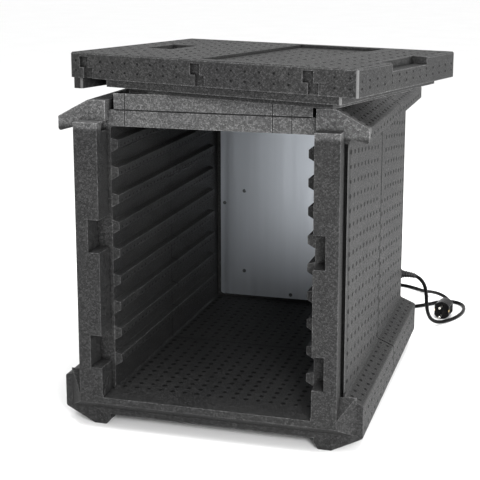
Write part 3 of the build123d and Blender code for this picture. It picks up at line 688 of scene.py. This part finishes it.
# ---------------------------------------------------------------- strap round the coil
def tie_band():
    """Hook-and-loop strap: a flat band round the bundle of turns, its end lapped over itself."""
    angle = math.radians(35.0)
    bundle_radius = 0.04205
    bundle_height = 0.0085
    outward = Vector((math.cos(angle), math.sin(angle), 0))
    along_cord = Vector((-outward.y, outward.x, 0))
    upward = Vector((0, 0, 1))
    centre = place(coil_centre[0], coil_centre[1], bundle_height) + outward * bundle_radius
    half_width = 0.006
    thick = 0.0009
    half_across, half_up, corner = 0.0084, 0.0073, 0.003
    bm = bmesh.new()
    outline = []
    for quarter in range(4):
        sign_x = 1 if quarter in (0, 3) else -1
        sign_z = 1 if quarter in (0, 1) else -1
        middle = outward * sign_x * (half_across - corner) + upward * sign_z * (half_up - corner)
        for step in range(7):
            turn = math.radians(90 * quarter + 15 * step)
            outline.append((middle, outward * math.cos(turn) + upward * math.sin(turn), corner))
    lapped = len(outline) + 9
    loops = []
    for index in range(lapped):
        middle, direction, radius = outline[index % len(outline)]
        lap = thick * 0.95 * min(max((index - len(outline) + 3) / 3, 0.0), 1.0)
        inner = centre + middle + direction * (radius + lap)
        outer = inner + direction * thick * 0.9
        edge = along_cord * half_width
        corners = (inner - edge, inner + edge, outer + edge, outer - edge)
        loops.append([bm.verts.new(corner_place) for corner_place in corners])
    for first, second in zip(loops, loops[1:]):
        bridge(bm, first, second)
    bm.faces.new(reversed(loops[0]))
    bm.faces.new(loops[-1])
    return mesh_from("coil_strap", bm)


coil_strap = add_piece("coil_strap", tie_band(), "carrier", strap)
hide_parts("cord_tie")

# ---------------------------------------------------------------- vent marks in the foam
door_centre = (0.0554, 0.1119)
door_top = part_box("door_slab")[1].z
door_slab_low = door_top - 0.040
door_half_length = 0.255
door_half_width = 0.167
mark_margin = 0.004         # marks keep this far from the seam and from the laid door
wall_pitch = 0.0295
roof_pitch = 0.0245
mark_reach_along = 0.243
mark_reach_across = 0.155
door_pitch_along = 0.0243
door_pitch_across = 0.0238


def on_door(x, y, z):
    """Point of the row frame for a place on the laid door, along it, across it and above the floor."""
    turned_x = door_centre[0] + x * math.cos(door_angle) - y * math.sin(door_angle)
    turned_y = door_centre[1] + x * math.sin(door_angle) + y * math.cos(door_angle)
    return place(turned_x, turned_y, z)


def under_door(x, y):
    """True where the laid door covers a place on the roof."""
    dx, dy = x - door_centre[0], y - door_centre[1]
    along = dx * math.cos(door_angle) + dy * math.sin(door_angle)
    across = dy * math.cos(door_angle) - dx * math.sin(door_angle)
    return abs(along) < door_half_length + mark_margin and abs(across) < door_half_width + mark_margin


def steps(low, high, pitch):
    """Evenly spaced values near a pitch, from one limit to the other."""
    count = max(1, round((high - low) / pitch))
    return [low + (high - low) * index / count for index in range(count + 1)]


def vent_marks(name, spots, body, radius=0.0024):
    """Vent plugs of the foam mould: each leaves a low rim round a small sunk centre, coloured near
    black; the colour is partly the mark's own tone and partly painted shade of the recess.
    """
    sides = 10
    rise = 0.00028
    # share of the radius and height over the face, from the buried skirt to the sunk centre
    rings = ((1.1, -0.0002), (1.04, rise), (0.9, rise), (0.8, 0.00006))
    random.seed(name)
    bm = bmesh.new()
    for centre, normal in spots:
        across, up = sideways(normal)
        size = radius * random.uniform(0.85, 1.15)
        made = [
            ring_of(bm, centre + normal * height, across, up, size * share, sides)
            for share, height in rings
        ]
        for first, second in zip(made, made[1:]):
            bridge(bm, first, second)
        bm.faces.new(made[-1])
        bm.faces.new(reversed(made[0]))
    return add_piece(name, mesh_from(name, bm, smooth=False), body, vent_mark_shade_finish)


def side_wall_spots(side):
    """Marks on the outside of a side wall: columns from front to rear, each lower than the last."""
    normal = Vector((side, 0, 0))
    spots = []
    column_fall = 0.0035
    for start, end in ((0.014, seam_y - 0.012), (seam_y + 0.012, wall_end_y - 0.014)):
        for column, y in enumerate(steps(start, end, wall_pitch)):
            for z in steps(0.112, 0.472, 0.0227):
                height = z - column_fall * (column % 6)
                in_slot = abs(y - seam_y) < 0.014 and 0.340 < height < 0.452
                if height > 0.099 and not in_slot:
                    spots.append((place(side * wall_x, y, height), normal))
    return spots


def wing_and_foot_spots(side):
    """Marks along the outer faces of the foot and the wing."""
    normal = Vector((side, 0, 0))
    spots = []
    for start, end in ((0.016, seam_y - 0.014), (seam_y + 0.014, wall_end_y - 0.016)):
        for y in steps(start, end, wall_pitch):
            for z in (0.038, 0.062, 0.498):
                spots.append((place(side * wing_x, y, z), normal))
    return spots


def slope_spots(side):
    """Marks in rows along the sloping tops of the foot and the wing."""
    slopes = (
        ((wing_x, foot_high_z), (wall_x, foot_join_z), (0.30, 0.72)),
        ((wing_x, wing_high_z), (shoulder_x, shoulder_z), (0.14, 0.38, 0.62, 0.86)),
    )
    spots = []
    for (outer_x, outer_z), (inner_x, inner_z), shares in slopes:
        normal = Vector((side * (inner_z - outer_z), 0, outer_x - inner_x)).normalized()
        for start, end in ((0.016, seam_y - 0.014), (seam_y + 0.014, wall_end_y - 0.016)):
            for y in steps(start, end, roof_pitch):
                for share in shares:
                    x = outer_x + (inner_x - outer_x) * share
                    z = outer_z + (inner_z - outer_z) * share
                    spots.append((place(side * x, y, z), normal))
    return spots


def floor_spots():
    """Marks on the cavity floor, in straight rows."""
    up = Vector((0, 0, 1))
    xs = steps(-0.156, 0.156, 0.0215)
    ys = [y for y in steps(0.030, 0.556, 0.0205) if abs(y - seam_y) > mark_margin]
    return [(place(x, y, cavity_floor), up) for x in xs for y in ys]


def roof_spots():
    """Marks on the raised roof, left out where the door lies."""
    up = Vector((0, 0, 1))
    ys = [y for y in steps(0.030, wall_end_y - 0.014, roof_pitch) if abs(y - seam_y) > mark_margin]
    xs = steps(-0.148, 0.148, roof_pitch)
    return [(place(x, y, plateau_z), up) for x in xs for y in ys if not under_door(x, y)]


def housing_spots():
    """Marks on the rear face of the heater housing, inside and outside its recessed panel."""
    normal = Vector((0, 1, 0))
    spots = []
    panel_depth = 0.006
    for x in steps(-0.184, 0.184, roof_pitch):
        for z in steps(0.046, 0.504, roof_pitch):
            in_panel = abs(x) < 0.144 and 0.206 < z < 0.464
            beside_panel = abs(x) > 0.155 or z < 0.195 or z > 0.475
            on_box = x > 0.114 and 0.080 < z < 0.170
            if on_box:
                continue
            if in_panel:
                spots.append((place(x, rear_y - panel_depth, z), normal))
            elif beside_panel:
                spots.append((place(x, rear_y, z), normal))
    return spots


def runner_spots():
    """Marks along the blunt tips of the shelf runners, near their lower edge."""
    spots = []
    below_top = 0.0122
    for side in (-1, 1):
        normal = Vector((-side, 0, 0))
        for index in range(runner_count):
            z = runner_first_top + index * runner_pitch - below_top
            for y in steps(0.028, 0.506, 0.0165):
                if abs(y - seam_y) > mark_margin:
                    spots.append((place(side * runner_tip_x, y, z), normal))
    return spots


def door_top_spots():
    """Marks on the door's outside face, clear of its recesses."""
    up = Vector((0, 0, 1))
    spots = []
    panel_start, panel_end, panel_half, panel_depth = -0.016, 0.141, 0.147, 0.005
    edge_clear = 0.005
    for x in steps(-mark_reach_along, mark_reach_along, door_pitch_along):
        for y in steps(-mark_reach_across, mark_reach_across, door_pitch_across):
            on_hand_recess = -0.209 < x < -0.144 and abs(y) < 0.046
            on_finger_notch = x > 0.224 and abs(y) < 0.066
            beside_edge = min(abs(x - panel_start), abs(x - panel_end)) < edge_clear
            near_panel_edge = beside_edge and abs(y) < panel_half + 2 * edge_clear
            in_panel = panel_start < x < panel_end and abs(y) < panel_half
            past_panel_end = (
                panel_start - edge_clear < x < panel_end + edge_clear
                and panel_half <= abs(y) < panel_half + 0.011
            )
            if on_hand_recess or on_finger_notch or near_panel_edge or past_panel_end:
                continue
            spots.append((on_door(x, y, door_top - (panel_depth if in_panel else 0)), up))
    return spots


def door_edge_spots():
    """Marks along the four edges of the door slab, clear of the stepped reliefs."""
    across = Vector((-math.sin(door_angle), math.cos(door_angle), 0))
    along = Vector((math.cos(door_angle), math.sin(door_angle), 0))
    spots = []
    relief_starts = (-0.236, -0.024, 0.168)
    for x in steps(-mark_reach_along, mark_reach_along, door_pitch_along):
        if any(start - 0.005 < x < start + 0.031 for start in relief_starts):
            continue
        for z in (door_slab_low + 0.012, door_slab_low + 0.027):
            for side in (-1, 1):
                spots.append((on_door(x, side * door_half_width, z), across * side))
    for y in steps(-mark_reach_across, mark_reach_across, door_pitch_across):
        for z in (door_slab_low + 0.012, door_slab_low + 0.022):
            spots.append((on_door(door_half_length, y, z), along))
            spots.append((on_door(-door_half_length, y, z), -along))
    return spots


for side, side_name in ((-1, "left"), (1, "right")):
    vent_marks("vent_marks_wall_" + side_name, side_wall_spots(side), "carrier", radius=0.0034)
    vent_marks("vent_marks_wing_" + side_name, wing_and_foot_spots(side), "carrier")
    vent_marks("vent_marks_slope_" + side_name, slope_spots(side), "carrier")
vent_marks("vent_marks_floor", floor_spots(), "carrier", radius=0.0036)
vent_marks("vent_marks_roof", roof_spots(), "carrier")
vent_marks("vent_marks_housing", housing_spots(), "carrier")
vent_marks("vent_marks_runners", runner_spots(), "carrier", radius=0.0018)
vent_marks("vent_marks_door_top", door_top_spots(), "door")
vent_marks("vent_marks_door_edges", door_edge_spots(), "door", radius=0.0016)

# ---------------------------------------------------------------- floor, light and camera
floor_shader = Shader("pale_floor", Specular_IOR_Level=0.2, Roughness=0.8)
floor_drift = floor_shader.noise(3.0, detail=2.0)
floor_shader.paint(floor_shader.ramp(floor_drift, (0.3, (0.86,) * 3), (0.7, (0.88,) * 3)))
bpy.ops.mesh.primitive_plane_add(size=60, location=(0, 0, 0))
studio_floor = bpy.context.object
studio_floor.name = "studio_floor"
studio_floor.data.materials.append(floor_shader.material)

world = bpy.data.worlds.new("studio")
bpy.context.scene.world = world
world.use_nodes = True
background = world.node_tree.nodes["Background"]
background.inputs["Color"].default_value = (1.0, 1.0, 1.0, 1.0)
background.inputs["Strength"].default_value = 1.12


def soft_light(name, location, target, size, energy):
    """Large square studio lamp aimed at a point."""
    lamp = bpy.data.lights.new(name, "AREA")
    lamp.shape = "SQUARE"
    lamp.size = size
    lamp.energy = energy
    holder = bpy.data.objects.new(name, lamp)
    bpy.context.scene.collection.objects.link(holder)
    holder.location = location
    holder.rotation_euler = (Vector(target) - Vector(location)).to_track_quat("-Z", "Y").to_euler()


middle = (cad_low + cad_high) / 2
soft_light("side_light", (2.6, 0.2, 0.45), middle, 1.2, 80)
soft_light("front_light", (0.85, -1.7, 0.85), place(-0.15, 0.2, 0.3), 0.5, 36)
soft_light("top_light", (0.3, -0.5, 2.6), middle, 1.6, 76)

camera_place = (0.5476, -1.6891, 0.7704)
camera_yaw = 0.2859
camera_pitch = 0.1969
camera_lens = 88.18
camera_shift_up = -0.12
camera = bpy.data.objects.new("camera", bpy.data.cameras.new("camera"))
bpy.context.scene.collection.objects.link(camera)
camera.location = place(*camera_place)
camera.rotation_euler = (math.pi / 2 - camera_pitch, 0, camera_yaw)
camera.data.sensor_width = 36.0
camera.data.lens = camera_lens
camera.data.shift_y = camera_shift_up
camera.data.clip_start = 0.05
camera.data.clip_end = 100.0
bpy.context.scene.camera = camera
bpy.context.scene.view_settings.view_transform = "Standard"
bpy.context.scene.view_settings.look = "None"
